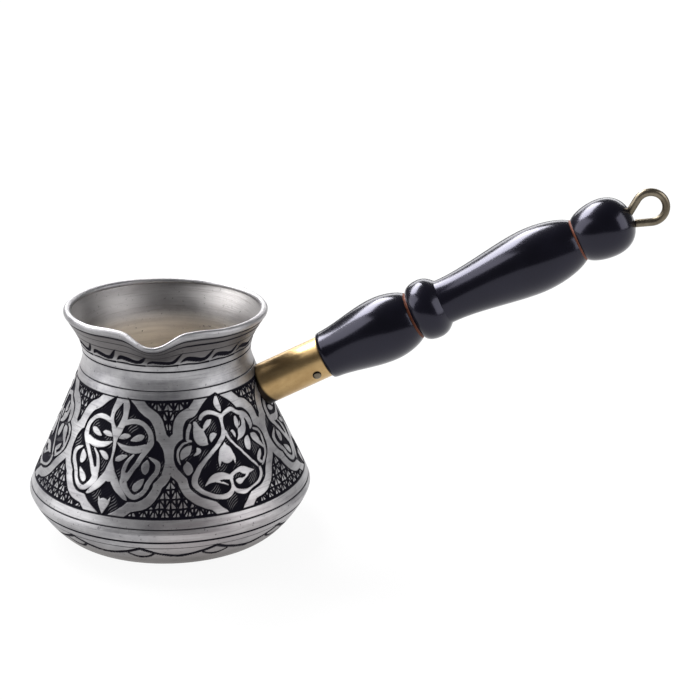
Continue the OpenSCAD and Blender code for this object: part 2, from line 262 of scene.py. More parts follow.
land_b = [
    # the leaf at the point, and the two bands that spring from under it
    [(0.9, 38.4, .1), (0.7, 36.8, .75), (0.5, 35.4, 1.1), (0.8, 34, .85), (1.1, 32.7, .12)],
    [(0.8, 31.3, .6), (-.8, 32.2, .6), (-2.4, 32.9, .65), (-4, 33.1, .65), (-5.4, 32.5, .6),
     (-6.3, 31.6, .5)],
    [(1.2, 31.0, .6), (2.6, 31.8, .7), (4.2, 32.3, .75), (5.6, 32.4, .7), (6.8, 31.6, .6), (8.2, 30.6, .7),
     (9.8, 29.9, .8), (11, 28.6, .95), (11.9, 27, 1.0), (12.4, 25.6, .8), (12.0, 24.6, .4)],
    # the arch: its neck, the long left side that runs round the foot, and the thin straight right side
    [(1.0, 31.0, .9), (0.9, 29.2, .55), (0.9, 27.5, .5), (0.7, 26.0, .65), (0.2, 24.7, .85),
     (-1.2, 23.3, .75), (-3.5, 21.3, .65), (-5.8, 19.4, .6), (-7.8, 17.8, .65), (-9.8, 16.2, .75),
     (-11.4, 14.4, .85), (-12.6, 12.5, .95), (-12.9, 10.8, .95), (-12.2, 9.2, .8), (-10.9, 7.9, .75),
     (-9, 6.8, .75), (-7, 5.9, .75), (-5, 5.4, .75), (-3.2, 5.5, .8), (-1.6, 6.3, .75), (-.6, 7.6, .6),
     (-.4, 9.2, .5), (-.5, 10.8, .6)],
    [(1.2, 25.8, .6), (2.4, 23.3, .45), (4.0, 21.0, .38), (5.8, 18.6, .38), (7.6, 16.3, .4), (9.2, 14.3, .4),
     (10.6, 12.6, .33), (11.4, 11.6, .12)],
    [(-.3, 8.0, .5), (.3, 6.8, .6), (1.6, 5.9, .7), (3.4, 5.4, .75), (5, 5.7, .5), (6.8, 6.2, .35),
     (8.6, 6.7, .4), (10.3, 7.4, .45), (11.5, 8.5, .55), (12.0, 9.8, .55), (11.9, 11.0, .5)],
    # the tulip, the crescent leaf and the hooked leaf inside the arch
    [(0.2, 22.5, .12), (0, 21.1, .9), (-.2, 19.5, 2.2), (-.2, 18.3, 2.6)],
    [(-2.2, 18.2, .8), (-2.9, 16.8, .5), (-3.4, 15.1, .08)],
    [(1.9, 18.0, .8), (2.4, 16.6, .5), (2.4, 15.1, .08)],
    [(-9.6, 9.8, .1), (-8.3, 10.9, .45), (-6.8, 11.7, 1.0), (-5, 12.1, 1.3), (-3.2, 12.0, 1.2),
     (-1.6, 11.5, .9), (-.2, 11.1, .7)],
    [(-5.6, 11.0, .5), (-4.4, 10.2, .3), (-3.4, 9.7, .26), (-2.1, 8.9, .15)],
    [(-.4, 11.4, .6), (1.4, 12.3, .6), (3.4, 12.8, .8), (5.0, 12.2, 1.2), (6.8, 11.7, .85), (9.0, 11.3, .1)],
    [(1.5, 9.5, .45), (2.6, 9.1, .95), (3.9, 9.3, .5), (5.3, 10.0, .35), (6.2, 11.0, .6)],
    # buds and curled leaves outside the arch, right and left
    [(5.4, 22.1, .12), (7.2, 23.4, .95), (8.0, 25.0, 1.65), (8.7, 27.0, 1.4), (9.2, 28.8, 1.1)],
    [(6.3, 26.0, .25), (6.3, 27.5, .8), (6.4, 29.2, .6), (6.3, 29.8, .2)],
    [(4.8, 23.3, .15), (4.6, 24.4, .5), (4.1, 25.4, .5), (3.5, 25.4, .12)],
    [(11.5, 22.6, .25), (12.5, 21.6, 1.15), (13.6, 20.2, 1.0), (15.0, 18.3, .55), (16.2, 16.9, .35)],
    [(13.2, 24.0, .3), (15, 22.8, .42), (16, 21.2, .42), (16.6, 19.2, .42), (16.7, 17.2, .45),
     (16.3, 15.2, .5), (15.4, 13.8, .5), (14.2, 12.5, .5), (13.4, 11.6, .2)],
    [(9.7, 22.1, .4), (9.2, 20.9, 1.2), (9.1, 19.4, 1.2), (9.3, 18.3, .5)],
    [(14.0, 16.4, .3), (13.3, 15.3, .8), (12.4, 14.3, .75), (12.3, 13.5, .5), (13.2, 12.6, .45)],
    [(-8.3, 30.3, .6), (-8.2, 28.5, 1.2), (-7.8, 26.6, 1.85), (-7.6, 25, 2.0), (-7.1, 23.9, 1.3),
     (-5.9, 22.9, .2)],
    [(-6.4, 27.4, .4), (-5.2, 28.8, .7), (-4.0, 29.8, .85), (-2.9, 30.5, .25)],
    [(-10.2, 29.8, .4), (-11.2, 28, .5), (-11.9, 26, .5), (-11.8, 25, .42), (-11, 24.7, .3)],
    [(-11.2, 23.2, .1), (-12.2, 22.4, .75), (-13.4, 21.4, 1.15), (-14.5, 20.3, .85), (-15.4, 19.2, .25)],
    [(-12, 24.4, .22), (-13.6, 24.0, .3), (-15.2, 22.6, .33), (-16.2, 20.8, .3), (-16.5, 19, .3),
     (-16.2, 17.4, .1)],
    [(-9.6, 22.3, .12), (-9.2, 21.4, .7), (-9.6, 20.7, .55), (-11, 20.1, .15)],
    [(-13.9, 18.2, .1), (-13.7, 17.2, .85), (-14, 16, 1.45), (-14.3, 14.8, .85), (-14.4, 13.9, .1)],
    [(-4.5, 23.6, .15), (-4.0, 24.8, .7), (-3.2, 25.6, .85), (-2.1, 25.9, .2)],
]
cuts_b = [
    [(6.9, 26.0, .25), (7.9, 26.6, .32), (8.1, 28.1, .32), (7.6, 29.6, .32), (6.6, 30.4, .3)],
    [(10.2, 27.8, .25), (10.8, 26.3, .33), (10.6, 24.6, .35), (9.8, 23.3, .35)],
    [(14.8, 22.2, .2), (15.6, 20.7, .3), (15.3, 19.4, .3)],
    [(14.6, 16.9, .2), (15.4, 15.7, .33), (15.0, 14.4, .33), (13.8, 13.8, .2)],
    [(0.6, 10.4, .3), (2.0, 11.1, .35), (3.4, 10.8, .35), (4.9, 10.3, .2)],
    [(-4.2, 10.35, .12), (-2.8, 10.35, .28), (-1.5, 10.0, .4)],
    [(-6.2, 28.5, .25), (-6.2, 30.1, .35), (-5.2, 31.2, .38), (-3.8, 31.4, .38), (-2.4, 31, .3)],
    [(-9.3, 29.6, .2), (-10, 27.8, .33), (-10.3, 26, .33), (-10.1, 24.2, .38)],
]

# Rings that are turned in on the lathe, as (height, half width of the line), from the belly to the neck.
belly_ring, band_foot, band_top, neck_ring = up_at(12.7), up_at(20.5), up_at(55.3), up_at(64.4)
turned_rings = [
    (belly_ring, .24), (up_at(17.3), .22), (band_foot, .26), (band_top, .22), (up_at(58.2), .2),
    (neck_ring, .2),
]
panels = 6
crossing = math.radians(8.1)            # where the frames of the two front panels cross
front_pitch = math.radians(58.4)        # the two front panels are a little narrower than the other four
rest_pitch = (full_turn - 2 * front_pitch) / (panels - 2)
panel_edges = crossing - front_pitch + np.concatenate(
    [[0, 1, 2], 2 + np.arange(1, 5) * rest_pitch / front_pitch]) * front_pitch
drawn_half = math.radians(29.2)         # half the angle that a medallion is drawn for
land_edge = 0.06                        # the untouched strokes are this much wider than drawn
ground = -1.5                           # the distance stands at this in the middle of a wide cut
frame_width = 3.1                       # the plain band between a medallion and the lattice
row_height = 3.2
lattice_line = 0.25
lattice_gap = 0.6                       # the cut line between the lattice and the band
lattice_meets = 19.0                    # its rows are set out from the foot below this, from the top above
worked_over = 0.17


def wobble(x, y, seed, size):
    """A slow, smooth, repeatable unevenness of a hand's work, up to about size."""
    a = np.sin(0.31 * x + 0.47 * y + 1.7 * seed) + np.sin(0.83 * y - 0.29 * x + 2.9 * seed)
    b = np.sin(1.3 * x + 5.1 * seed) * np.sin(1.1 * y + 0.7 * seed)
    return size * (a + b) / 2.6


def lattice_distance(x, y, seed):
    """Distance from the nearest line of the lattice: rows, both slants and uprights that meet in stars. The
    triangles that stand on a point are worked over, so they are left smaller than the others."""
    x = x + wobble(x, y, seed, 0.25)
    y = y + wobble(y, x, seed + 3, 0.18)
    row, rising, falling = (
        (y * math.cos(turn) + x * math.sin(turn)) / row_height for turn in (0, math.pi / 3, -math.pi / 3)
    )
    upright = x * math.sqrt(3) / row_height
    gaps = [np.abs((line + 0.5) % 1 - 0.5) * row_height for line in (row, rising, falling)]
    gaps.append(np.abs((upright + 0.5) % 1 - 0.5) * row_height / math.sqrt(3))
    on_a_point = rising % 1 + falling % 1 - row % 1 < 0.5
    return np.minimum.reduce(gaps) - worked_over * on_a_point


def engrave_panel(index, angle, up):
    """Signed distance over a panel, in millimetres: positive on the untouched metal, negative in the cuts.
    x is the length of arc from the panel's middle, stretched to the angle that it is drawn for, and y the
    length up from the foot of the band."""
    left, right = panel_edges[index], panel_edges[index + 1]
    r = radius_at(up)
    y = up - band_foot
    band = band_top - band_foot
    middle, half = (left + right) / 2, (right - left) / 2
    x = (angle - middle) * r * drawn_half / half
    x = x + wobble(x, y, index, 0.16)
    y_cut = y + wobble(y, x, index + 7, 0.16)
    kinds = [(outline_a, land_a, cuts_a), (outline_b, land_b, cuts_b)]
    outline, land, cuts = kinds[index % 2]
    other = kinds[1 - index % 2][0]
    out = outline_distance(x, y_cut, outline)
    metal = np.maximum(out, ground)
    for stroke in land:
        metal = np.maximum(metal, land_edge - stroke_distance(x, y_cut, stroke))
    for stroke in cuts:
        metal = np.minimum(metal, stroke_distance(x, y_cut, stroke))
    pitch = 2 * drawn_half * r
    beside = np.minimum(outline_distance(x - pitch, y_cut, other), outline_distance(x + pitch, y_cut, other))
    from_ends = np.minimum(y, band - y) - 0.1
    inside = np.minimum(np.minimum(out, beside) - frame_width, from_ends)
    from_edge = x - np.sign(x) * pitch / 2
    from_base = np.where(y < lattice_meets, y, y - band)
    lattice = lattice_distance(from_edge, from_base, index) - lattice_line
    lattice = np.minimum(lattice, inside - lattice_gap)
    metal = np.minimum(metal, np.maximum(lattice, -inside))
    for ring, half_width in turned_rings:
        metal = np.minimum(metal, np.abs(up - ring) - half_width)
    return metal


# Scallops round the foot: hanging arcs that meet in peaks, with a small lens under each peak.
scallops = 11
first_peak = math.radians(-5.6)
scallop_r = 44.0                        # the pot's radius there, which turns angles into lengths
peak_up, arc_sag, arc_line = band_foot - 12.0, 4.3, 0.68
lens_half, lens_low, lens_rise, lens_line = 4.7, -5.1, 2.5, 0.6
foot_rings = [(belly_ring, .24), (band_foot - 8.7, .26), (band_foot - 11.6, .12)]


def engrave_bowl(angle, up):
    """Signed distance over the foot of the pot: turned rings and scallops."""
    pitch = full_turn / scallops
    turn = ((angle - first_peak) / pitch + 0.5) % 1 - 0.5     # from the nearest peak, in scallops
    half = pitch / 2 * scallop_r
    x = turn * 2 * half
    from_middle = half - np.abs(x)
    y = up - peak_up + wobble(angle * 40, up, 1, 0.2)
    slope = 1.6 * arc_sag * (from_middle / half) ** 0.6 / half
    arc = -arc_sag + arc_sag * (from_middle / half) ** 1.6
    metal = np.abs(y - arc) / np.sqrt(1 + slope ** 2) - arc_line
    lens = lens_low + lens_rise * (np.abs(x) / lens_half) ** 2.2
    on_lens = np.abs(y - lens) - lens_line
    metal = np.minimum(metal, np.where(np.abs(x) < lens_half, on_lens, 1))
    for ring, half_width in foot_rings:
        metal = np.minimum(metal, np.abs(up - ring) - half_width)
    return metal


# Waves round the neck: each a thick stroke that dips and then flicks up, over a thin base line.
waves = 17
first_wave = math.radians(-4.2)
wave_foot = up_at(66.8)
wave_stroke = [(-.1, 1.0, .12), (.9, 1.7, .45), (2.1, 2.1, .75), (4.2, 1.7, .85), (6.4, 1.2, .7),
               (8.2, 1.4, .6), (9.6, 2.5, .5), (10.8, 3.8, .3), (11.7, 4.8, .05)]
wave_thread = [(-.6, 0, .2), (2.4, .1, .3), (5.5, -.1, .22), (9.5, 0, .3)]


def engrave_neck(angle, up):
    """Signed distance over the neck and mouth: a ring, the waves and faint turned lines under the rim."""
    pitch = full_turn / waves
    metal = np.abs(up - neck_ring) - 0.2
    y = up - wave_foot
    turn = (angle - first_wave) / pitch
    for before in (-1, 0, 1):
        number = (np.floor(turn) - before) % waves
        x = (turn % 1 + before) * pitch * radius_at(up) + wobble(number * 3, y, 2, 0.25)
        for stroke in (wave_stroke, wave_thread):
            metal = np.minimum(metal, stroke_distance(x, y, stroke))
    deeper_right = 0.2 * np.sin(angle - 0.2)
    for line, half_width in [(up_at(70.9), .08), (up_at(73.2), .2 + deeper_right), (length_up[-1] - .3, .24)]:
        metal = np.minimum(metal, np.abs(up - line) - half_width)
    return metal


# -- the metal's shape

cut_depth, mark_depth = 0.34, 0.07
mark_spacing = 0.8


def smooth_step(low, high, value):
    """0 below low, 1 above high, and smooth between."""
    t = np.clip((value - low) / (high - low), 0, 1)
    return t * t * (3 - 2 * t)


def tool_marks(x, y):
    """Fine parallel grooves left in the sunk ground, leaning right, from 0 to 1."""
    across = (x * 0.74 - y * 0.67 + 0.3 * np.sin(0.9 * x + 0.5 * y)) / mark_spacing
    return 0.5 + 0.5 * np.cos(full_turn * across)


def sunk(metal):
    """How far down the tool has gone: 0 on the metal, 1 on the floor of a cut."""
    return smooth_step(0.0, -0.25, metal)


def blackened(metal):
    """0 on the metal, 1 in a cut. The black starts a hair outside the cut, so that no edge of it shines."""
    return smooth_step(0.12, -0.02, metal)


def add_piece(name, points, faces, values, material):
    """A mesh object from points in metres, faces, and values on its points. It is smooth, but for edges where
    two faces turn more than 70 degrees."""
    mesh = bpy.data.meshes.new(name)
    mesh.from_pydata(points.reshape(-1, 3), [], faces)
    mesh.polygons.foreach_set("use_smooth", np.ones(len(mesh.polygons), bool))
    mesh.set_sharp_from_angle(angle=math.radians(70))
    for key, value in values.items():
        mesh.attributes.new(key, "FLOAT", "POINT").data.foreach_set("value", value.ravel().astype(np.float32))
    mesh.materials.append(material)
    piece = bpy.data.objects.new(name, mesh)
    bpy.context.scene.collection.objects.link(piece)
    return piece


def strip_faces(columns, rows, round_columns, round_rows):
    """Quads between neighbouring columns and rows of a grid that is numbered column by column."""
    i = np.arange(columns if round_columns else columns - 1)[:, None]
    j = np.arange(rows if round_rows else rows - 1)[None, :]
    i2, j2 = (i + 1) % columns, (j + 1) % rows
    quads = np.stack([i * rows + j, i2 * rows + j, i2 * rows + j2, i * rows + j2], -1)
    return quads.reshape(-1, 4)


def keep(piece, node):
    """The finished piece rides on the pot and stands in for a CAD node, which is hidden."""
    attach(piece, "root")
    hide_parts(node)


class Shade:
    """A number, vector or colour inside a material. Arithmetic on it adds Math nodes."""

    def __init__(self, tree, socket):
        self.tree, self.socket = tree, socket

    def out(self, kind, settings=None, output=0, **inputs):
        """An output of a new node of a kind. Its settings are set first, then its sockets, by name or, as _0,
        by number."""
        made = self.tree.nodes.new(kind)
        for key, value in (settings or {}).items():
            setattr(made, key, value)
        for key, value in inputs.items():
            socket = made.inputs[int(key[1:]) if key[0] == "_" else key.replace("_", " ")]
            if isinstance(value, Shade):
                self.tree.links.new(value.socket, socket)
            else:
                socket.default_value = value
        return Shade(self.tree, made.outputs[output])

    def math(self, operation, a, b, clamp=False):
        """The result of a Math node."""
        return self.out("ShaderNodeMath", {"operation": operation, "use_clamp": clamp}, _0=a, _1=b)

    def __add__(self, other):
        return self.math("ADD", self, other)

    def __mul__(self, other):
        return self.math("MULTIPLY", self, other)

    def __sub__(self, other):
        return self.math("SUBTRACT", self, other)

    def __rsub__(self, other):
        return self.math("SUBTRACT", other, self)

    __radd__, __rmul__ = __add__, __mul__

    def clamped(self):
        """This, held between 0 and 1."""
        return self.math("ADD", self, 0.0, clamp=True)

    def between(self, low, high):
        """0 where this is under low, 1 where it is over high."""
        return self.out("ShaderNodeMapRange", {"interpolation_type": "SMOOTHSTEP"}, _0=self, _1=low, _2=high)

    def mix(self, a, b):
        """From colour a to colour b as this goes from 0 to 1."""
        return self.out("ShaderNodeMix", {"data_type": "RGBA"}, 2, _0=self, _6=a, _7=b)


def new_material(name, **constants):
    """A material with one Principled shader, its constant values, and a Shade that starts its maths."""
    material = bpy.data.materials.new(name)
    material.use_nodes = True
    tree = material.node_tree
    shader = tree.nodes["Principled BSDF"]
    for key, value in constants.items():
        shader.inputs[key.replace("_", " ")].default_value = value
    coords = Shade(tree, tree.nodes.new("ShaderNodeTexCoord").outputs["Object"])
    return material, shader, coords


def drive(shader, name, shade):
    """Links a Shade to one of the shader's sockets."""
    shade.tree.links.new(shade.socket, shader.inputs[name])


def own_value(coords, name):
    """A value that the piece's mesh holds at its points."""
    return coords.out("ShaderNodeAttribute", {"attribute_name": name}, 2)


def noise(coords, scale, stretch, detail, roughness, turn=(0, 0, 0)):
    """Noise from 0 to 1 over the piece, drawn out by stretch along axes that are first turned."""
    along = coords.out(
        "ShaderNodeMapping", {"vector_type": "TEXTURE"}, Vector=coords, Scale=stretch, Rotation=turn,
    )
    return coords.out("ShaderNodeTexNoise", Vector=along, Scale=scale, Detail=detail, Roughness=roughness)


def bump(coords, height, strength, distance):
    """A normal that is tilted by a height."""
    return coords.out("ShaderNodeBump", Height=height, Strength=strength, Distance=distance)


tin_dark, tin_pale = (0.24, 0.237, 0.252, 1), (0.45, 0.445, 0.455, 1)
tin_warm, tin_rubbed, tin_scratch = (0.35, 0.305, 0.305, 1), (0.66, 0.655, 0.665, 1), (0.15, 0.145, 0.155, 1)
# Pale browns of stained tin, pale enough to also paint the light that bounces about inside the pot.
lit_stain_brown, lit_stain_pale = (0.70, 0.65, 0.59, 1), (0.94, 0.89, 0.82, 1)
# Dark grey for tarnish and for painted shade, then the pits and the lamp-black.
tarnish_and_shade_grey, pitted, lamp_black = (0.088, 0.078, 0.076, 1), (0.05, 0.045, 0.05, 1), (0.005, 0.0045, 0.009, 1)


def tinned_copper():
    """Tinned copper, brushed round and round on the lathe, with lamp-black in the engraving. The pot's own
    values are ink, how black a cut is; a stain value, how far the tin has gone pale brown, which inside the
    pot also paints the light that bounces there; and a tarnish value, how far it has gone dark grey, partly
    tarnish and partly painted shade on the flare, inside the mouth and round the foot."""
    material, shader, coords = new_material("tinned_copper", Specular_IOR_Level=0.05)
    ink = own_value(coords, "ink")
    stain_and_painted_light = own_value(coords, "stain_and_painted_light")
    tarnish_and_shade = own_value(coords, "tarnish_and_shade")
    brushing = noise(coords, 110, (2, 2, 0.07), 6, 0.7)
    bands = noise(coords, 26, (2.5, 2.5, 0.22), 5, 0.65)
    clouds = noise(coords, 70, (1, 1, 0.8), 6, 0.7)
    tint = noise(coords, 14, (1, 1, 1), 3, 0.5)
    pits = noise(coords, 900, (1, 1, 1), 2, 0.5).between(0.66, 0.75)
    metal = clouds.between(0.3, 0.7).mix(tin_dark, tin_pale)
    metal = (tint.between(0.48, 0.7) * 0.55).mix(metal, tin_warm)
    metal = (bands.between(0.42, 0.7) * 0.6).mix(metal, tin_rubbed)
    metal = (brushing.between(0.53, 0.72) * 0.7).mix(metal, tin_scratch)
    # Pale brown stain; inside the pot it is also painted light that bounces there.
    stain_and_light_amount = (stain_and_painted_light * (0.7 + 0.6 * clouds)).clamped()
    metal = stain_and_light_amount.mix(metal, bands.between(0.35, 0.65).mix(lit_stain_brown, lit_stain_pale))
    # Grey, partly tarnish and partly painted shade.
    tarnish_and_shade_amount = (tarnish_and_shade * (0.4 + bands + 0.4 * clouds)).clamped()
    metal = tarnish_and_shade_amount.mix(metal, tarnish_and_shade_grey)
    metal = (pits * 0.6).mix(metal, pitted)
    drive(shader, "Base Color", ink.mix(metal, lamp_black))
    drive(shader, "Metallic", (1 - ink - stain_and_painted_light * 0.2).clamped())
    drive(shader, "Roughness", (0.28 + 0.2 * brushing + 0.14 * clouds + 0.2 * ink + 0.1 * stain_and_painted_light).clamped())
    drive(shader, "Normal", bump(coords, brushing + 0.5 * clouds, 0.45, 0.0002))
    return material


pot_metal = tinned_copper()


def course(name, angles, out_ups, engrave, in_ups, closed, rim=False):
    """One course of the pot's wall as a closed solid. Up the outside it follows the engraving, over the top
    it turns in (round the rolled rim where rim is set), and it comes down the inside."""
    a, up = np.meshgrid(angles, out_ups, indexing="ij")
    metal = engrave(a, up)
    x, y = a * radius_at(up), up
    marks = 0 * x if rim else tool_marks(x, y)
    depth = sunk(metal) * (cut_depth - mark_depth * marks)
    patches = np.sin(0.62 * x + 0.21 * y + 0.4) * np.sin(0.43 * y - 0.31 * x)
    glints = smooth_step(0.75, 0.97, marks) * smooth_step(0.1, 0.6, patches)
    ink = blackened(metal) * (1 - 0.45 * glints * smooth_step(-0.3, -0.5, metal))
    r, z = sheet_point(up, depth)
    loops = [around(a, r, z)]
    inks = [ink]
    stains_and_painted_light = [0 * ink]
    # The outside of the flare greys upwards: partly tarnish, partly painted shade where it faces down to the
    # glowing table.
    tarnish_and_shade_rows = [0.7 * smooth_step(up_at(65), up_at(70), up)]
    if rim:
        turn = np.linspace(bead_start, bead_stop, 20)[1:-1]
        a_rim, turn = np.meshgrid(angles, turn, indexing="ij")
        r_rim, z_rim = bead_r * np.cos(turn), bead_r * np.sin(turn)
        loops.append(around(a_rim, bead_centre[0] + r_rim, bead_centre[1] + z_rim))
        inks.append(0 * turn)
        stains_and_painted_light.append(0 * turn)
        tarnish_and_shade_rows.append(0.15 + 0 * turn)
    a_in, up_in = np.meshgrid(angles, in_ups, indexing="ij")
    r, z = sheet_point(up_in, wall)
    loops.append(around(a_in, r, z))
    inks.append(0 * up_in)
    # Inside, the wall goes pale brown lower down: stain, and painted light that bounces about in the pot.
    stains_and_painted_light.append(0.2 + 0.8 * smooth_step(68, 61, z))
    # Painted shade: the inside of the mouth greys towards the rim, where the key light falls.
    tarnish_and_shade_rows.append(0.42 * smooth_step(64, 69, z))
    points = np.concatenate(loops, 1)
    values = {
        "ink": np.concatenate(inks, 1),
        "stain_and_painted_light": np.concatenate(stains_and_painted_light, 1),
        "tarnish_and_shade": np.concatenate(tarnish_and_shade_rows, 1),
    }
    columns, rows = points.shape[:2]
    faces = strip_faces(columns, rows, closed, True).tolist()
    if not closed:
        faces.append(list(range(rows))[::-1])
        faces.append(list(range((columns - 1) * rows, columns * rows)))
    keep(add_piece(name, points, faces, values, pot_metal), "pot_body")


def fine(low, high, step):
    """Even steps from low to high, both included, no longer than step."""
    return np.linspace(low, high, int(math.ceil((high - low) / step)) + 1)


panel_columns, mouth_columns, bowl_columns = 256, 760, 1100

for index in range(panels):
    course(
        f"pot_wall_{index + 1}",
        np.linspace(panel_edges[index], panel_edges[index + 1], panel_columns),
        fine(belly_ring, neck_ring, 0.185),
        lambda angle, up, index=index: engrave_panel(index, angle, up),
        fine(belly_ring, neck_ring, 1.6)[::-1],
        closed=False,
    )

course(
    "pot_mouth",
    np.arange(mouth_columns) * full_turn / mouth_columns,
    fine(neck_ring, length_up[-1], 0.2),
    engrave_neck,
    fine(neck_ring, length_up[-1], 0.8)[::-1],
    closed=True,
    rim=True,
)


# The foot's grey is partly tarnish and partly painted shade.
foot_stain, foot_tarnish_and_shade = 0.4, 0.75


def bowl():
    """The foot of the pot: the flat base and the curve up to the belly's lowest ring, closed at two poles."""
    angles = np.arange(bowl_columns) * full_turn / bowl_columns
    base = np.linspace(0, base_r, 6)[1:-1]
    ups = fine(0, belly_ring, 0.27)
    a, up = np.meshgrid(angles, ups, indexing="ij")
    metal = engrave_bowl(a, up)
    r, z = sheet_point(up, cut_depth * sunk(metal))
    a_base, r_base = np.meshgrid(angles, base, indexing="ij")
    a_in, up_in = np.meshgrid(angles, fine(1.2, belly_ring, 2.4)[::-1], indexing="ij")
    r_in, z_in = sheet_point(up_in, wall)
    a_floor, r_floor = np.meshgrid(angles, base[::-1], indexing="ij")
    points = np.concatenate([
        around(a_base, r_base, 0 * r_base), around(a, r, z), around(a_in, r_in, z_in),
        around(a_floor, r_floor, wall + 0 * r_floor),
    ], 1)
    columns, rows = points.shape[:2]
    ink = np.concatenate([0 * a_base, blackened(metal), 0 * a_in, 0 * a_floor], 1)
    # Inside the foot the tin is pale brown all over: stain, and painted light that bounces about in the pot.
    stain_and_painted_light = np.concatenate([
        foot_stain + 0 * a_base, foot_stain * smooth_step(13, 3, up), 1 + 0 * a_in, 1 + 0 * a_floor,
    ], 1)
    # The outside greys towards the base: partly tarnish, partly painted shade on the lower belly, which faces
    # the glowing table.
    tarnish_and_shade = np.concatenate([
        foot_tarnish_and_shade + 0 * a_base, foot_tarnish_and_shade * smooth_step(18, 6, up), 0 * a_in, 0 * a_floor,
    ], 1)
    faces = strip_faces(columns, rows, True, False).tolist()
    under, over = columns * rows, columns * rows + 1
    i = np.arange(columns)
    after = (i + 1) % columns
    faces += np.stack([after * rows, i * rows, 0 * i + under], -1).tolist()
    faces += np.stack([i * rows + rows - 1, after * rows + rows - 1, 0 * i + over], -1).tolist()
    points = np.vstack([points.reshape(-1, 3), [[0, 0, 0], [0, 0, wall * mm]]])
    values = {
        "ink": np.append(ink, [0, 0]),
        "stain_and_painted_light": np.append(stain_and_painted_light, [foot_stain, 1]),
        "tarnish_and_shade": np.append(tarnish_and_shade, [foot_tarnish_and_shade, 0]),
    }
    keep(add_piece("pot_bowl", points, faces, values, pot_metal), "pot_body")


bowl()

# ---- Rivet, saddle and washer ------------------------------------------------------------------
# A tinned copper rivet goes through the wall and the brass disc in the ferrule's end, and is hammered over
# a copper washer. All three keep their CAD shapes; only the rivet's head shows, inside the pot.


def rubbed_metal(name, light, dark, rough, turn=(0, 0, 0)):
    """Old plain metal: its colour wanders from light to dark, with fine scratches along the turned X axis.
    Its painted-shadow value is how black it is: a painted shadow where it sits in a gap or a hole."""
    material, shader, coords = new_material(name, Metallic=1.0)
    painted_shadow = own_value(coords, "painted_shadow")
    scratches = noise(coords, 260, (14, 1, 1), 4, 0.6, turn)
    clouds = noise(coords, 120, (2, 1, 1), 5, 0.6, turn)
    specks = noise(coords, 700, (1, 1, 1), 2, 0.5).between(0.66, 0.75)
    colour = clouds.between(0.3, 0.8).mix(light, dark)
    colour = (specks * 0.5).mix(colour, dark)
    # Painted shadow: black where the painted-shadow value is set.
    drive(shader, "Base Color", painted_shadow.mix(colour, (0.02, 0.015, 0.012, 1)))
    drive(shader, "Roughness", (rough + 0.16 * clouds + 0.14 * scratches).clamped())
    drive(shader, "Normal", bump(coords, scratches + 0.4 * clouds, 0.2, 0.0001))
    return material


handle_rise = math.radians(26.8)
along_handle = (0, -handle_rise, 0)
brass = rubbed_metal("brass", (0.58, 0.41, 0.20, 1), (0.36, 0.23, 0.10, 1), 0.18, along_handle)
copper = rubbed_metal("copper", (0.62, 0.33, 0.22, 1), (0.38, 0.20, 0.13, 1), 0.3)
steel = rubbed_metal("steel", (0.25, 0.215, 0.16, 1), (0.10, 0.083, 0.06, 1), 0.22, along_handle)
for node, metal in [("mounting_rivet", pot_metal), ("ferrule_saddle", brass), ("rivet_washer", copper)]:
    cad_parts[node].material_slots[0].material = metal

# ---- Ferrule -----------------------------------------------------------------------------------
# A tube of brass. Its pot end is cut to the curve of the wall and butts against it, and its outer end,
# with the edge broken by a file, takes the handle's tenon.

handle_root = np.array([0, 0, 34.5])
outward = np.array([math.cos(handle_rise), 0, math.sin(handle_rise)])
downward = np.array([math.sin(handle_rise), 0, -math.cos(handle_rise)])
backward = np.array([0.0, 1.0, 0.0])
handle_axes = handle_root, outward, downward, backward
ferrule_r, ferrule_bore_r, ferrule_end = 7.0, 6.0, 59.3
filed_r = 0.35
sure_inside, sure_outside = 25.0, 58.0  # distances along the handle's axis within and beyond the pot's wall


def placed(axes, along, side, back):
    """Points in millimetres from their distances along the three directions of a set of axes."""
    origin, x_way, y_way, z_way = axes
    pairs = [(along, x_way), (side, y_way), (back, z_way)]
    return origin + sum(np.asarray(part)[..., None] * way for part, way in pairs)


def meets_wall(turn, r):
    """Distance along the handle's axis at which a line beside it comes out of the pot's outside."""
    low, high = np.full(turn.shape, sure_inside), np.full(turn.shape, sure_outside)
    for _ in range(30):
        middle = (low + high) / 2
        p = placed(handle_axes, middle, r * np.cos(turn), r * np.sin(turn))
        outside_pot = np.hypot(p[..., 0], p[..., 1]) > np.interp(p[..., 2], outside[:, 1], outside[:, 0])
        low, high = np.where(outside_pot, low, middle), np.where(outside_pot, middle, high)
    return high


